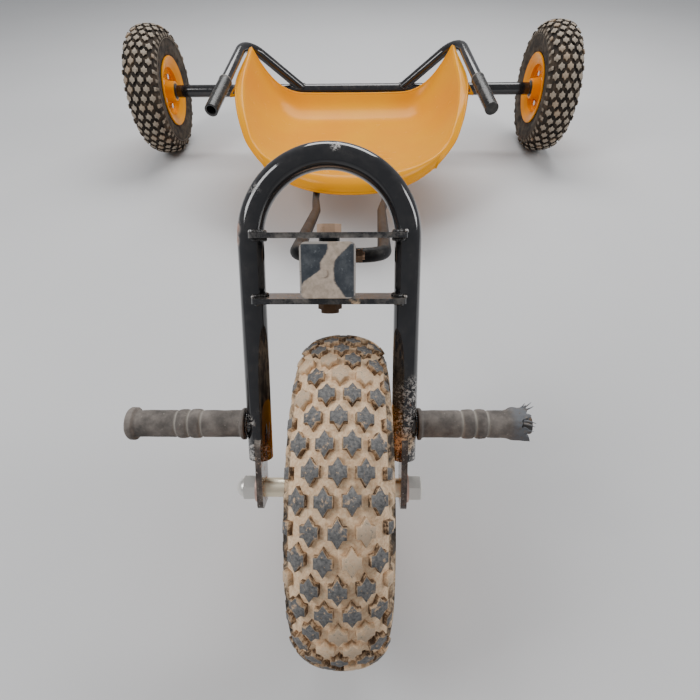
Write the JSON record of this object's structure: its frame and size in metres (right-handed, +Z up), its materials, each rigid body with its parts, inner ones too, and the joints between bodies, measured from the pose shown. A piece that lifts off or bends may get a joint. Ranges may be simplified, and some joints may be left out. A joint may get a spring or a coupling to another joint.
{
  "type": "foot-steered kart",
  "caption": "Three-wheeled kart with a raked front fork steered by foot pegs, round-bar rails, a moulded yellow bucket seat, side handles and air-filled tyres.",
  "frame": {"origin": "on the ground, midway between the front and rear axles, in the kart's middle plane", "axes": "+X to the right as seen from in front of the kart, +Y from the front wheel to the rear axle, +Z up"},
  "size_m": [0.9826, 1.24, 0.361],
  "materials": {
    "tyre_rubber": "worn black rubber with dried mud between the lugs",
    "inner_rubber": "smooth black rubber",
    "yellow_rim": "moulded yellow-orange plastic, dusty",
    "yellow_seat": "glossy moulded yellow-orange plastic",
    "black_paint": "gloss black paint on steel, chipped and dusty",
    "head_paint": "blue-black paint with dried mud",
    "chipped_paint": "black paint chipped to rusty steel, muddy",
    "zinc": "zinc plated steel",
    "yellow_zinc": "dull yellow zinc plated steel",
    "bearing_steel": "ground steel with dark seals",
    "nylon": "natural nylon",
    "black_plastic": "matt black plastic",
    "handle_rubber": "smooth black rubber sleeve",
    "peg_rubber": "worn, dusty grey-black rubber"
  },
  "bodies": {
    "frame": {"main_rail": "black_paint", "rear_axle_tube": "black_paint", "left_axle_stub": "zinc", "right_axle_stub": "zinc", "rear_washers": "zinc", "rear_cap_nuts": "zinc", "head_block": "head_paint", "head_cap": "head_paint", "steering_sleeve": "black_paint", "steering_bushes": "nylon", "head_cross_bolt": "yellow_zinc", "side_tube_left": "black_paint", "side_tube_right": "black_paint", "handle_grip_left": "handle_rubber", "handle_grip_right": "handle_rubber", "handle_plug_right": "black_plastic", "seat_shell": "yellow_seat", "seat_plates": "black_paint", "seat_bolts": "zinc"},
    "fork": {"fork_tube": "black_paint", "lower_fork_plate": "black_paint", "upper_fork_plate": "black_paint", "dropout_left": "chipped_paint", "dropout_right": "chipped_paint", "peg_bar_left": "black_paint", "peg_bar_right": "black_paint", "peg_grip_left": "peg_rubber", "peg_grip_right": "peg_rubber", "front_axle_bolt": "zinc", "front_cap_nut": "zinc", "front_washers": "zinc", "front_spacer_left": "yellow_zinc", "front_spacer_right": "yellow_zinc", "steering_bolt": "yellow_zinc", "steering_washers": "black_plastic", "steering_nut": "yellow_zinc"},
    "front_wheel": {"front_tyre": "tyre_rubber", "front_inner_tube": "inner_rubber", "front_rim_left": "yellow_rim", "front_rim_right": "yellow_rim", "front_rim_bolts": "zinc", "front_bearings": "bearing_steel", "front_bearing_spacer": "zinc", "front_valve": "inner_rubber"},
    "left_wheel": {"left_tyre": "tyre_rubber", "left_inner_tube": "inner_rubber", "left_rim_left": "yellow_rim", "left_rim_right": "yellow_rim", "left_rim_bolts": "zinc", "left_bearings": "bearing_steel", "left_bearing_spacer": "zinc", "left_valve": "inner_rubber"},
    "right_wheel": {"right_tyre": "tyre_rubber", "right_inner_tube": "inner_rubber", "right_rim_left": "yellow_rim", "right_rim_right": "yellow_rim", "right_rim_bolts": "zinc", "right_bearings": "bearing_steel", "right_bearing_spacer": "zinc", "right_valve": "inner_rubber"}
  },
  "joints": [
    {"name": "steer", "type": "hinge", "parent": "frame", "child": "fork", "pos_m": [-0.0095, -0.38844, 0.28343], "axis": [0, 0.5519, 0.8339], "range_deg": [-20, 20]},
    {"name": "front_wheel_spin", "type": "hinge", "parent": "fork", "child": "front_wheel", "pos_m": [0, -0.49, 0.13], "axis": [1, 0, 0], "continuous": true},
    {"name": "left_wheel_spin", "type": "hinge", "parent": "frame", "child": "left_wheel", "pos_m": [-0.438, 0.49, 0.13], "axis": [1, 0, 0], "continuous": true},
    {"name": "right_wheel_spin", "type": "hinge", "parent": "frame", "child": "right_wheel", "pos_m": [0.438, 0.49, 0.13], "axis": [1, 0, 0], "continuous": true}
  ]
}
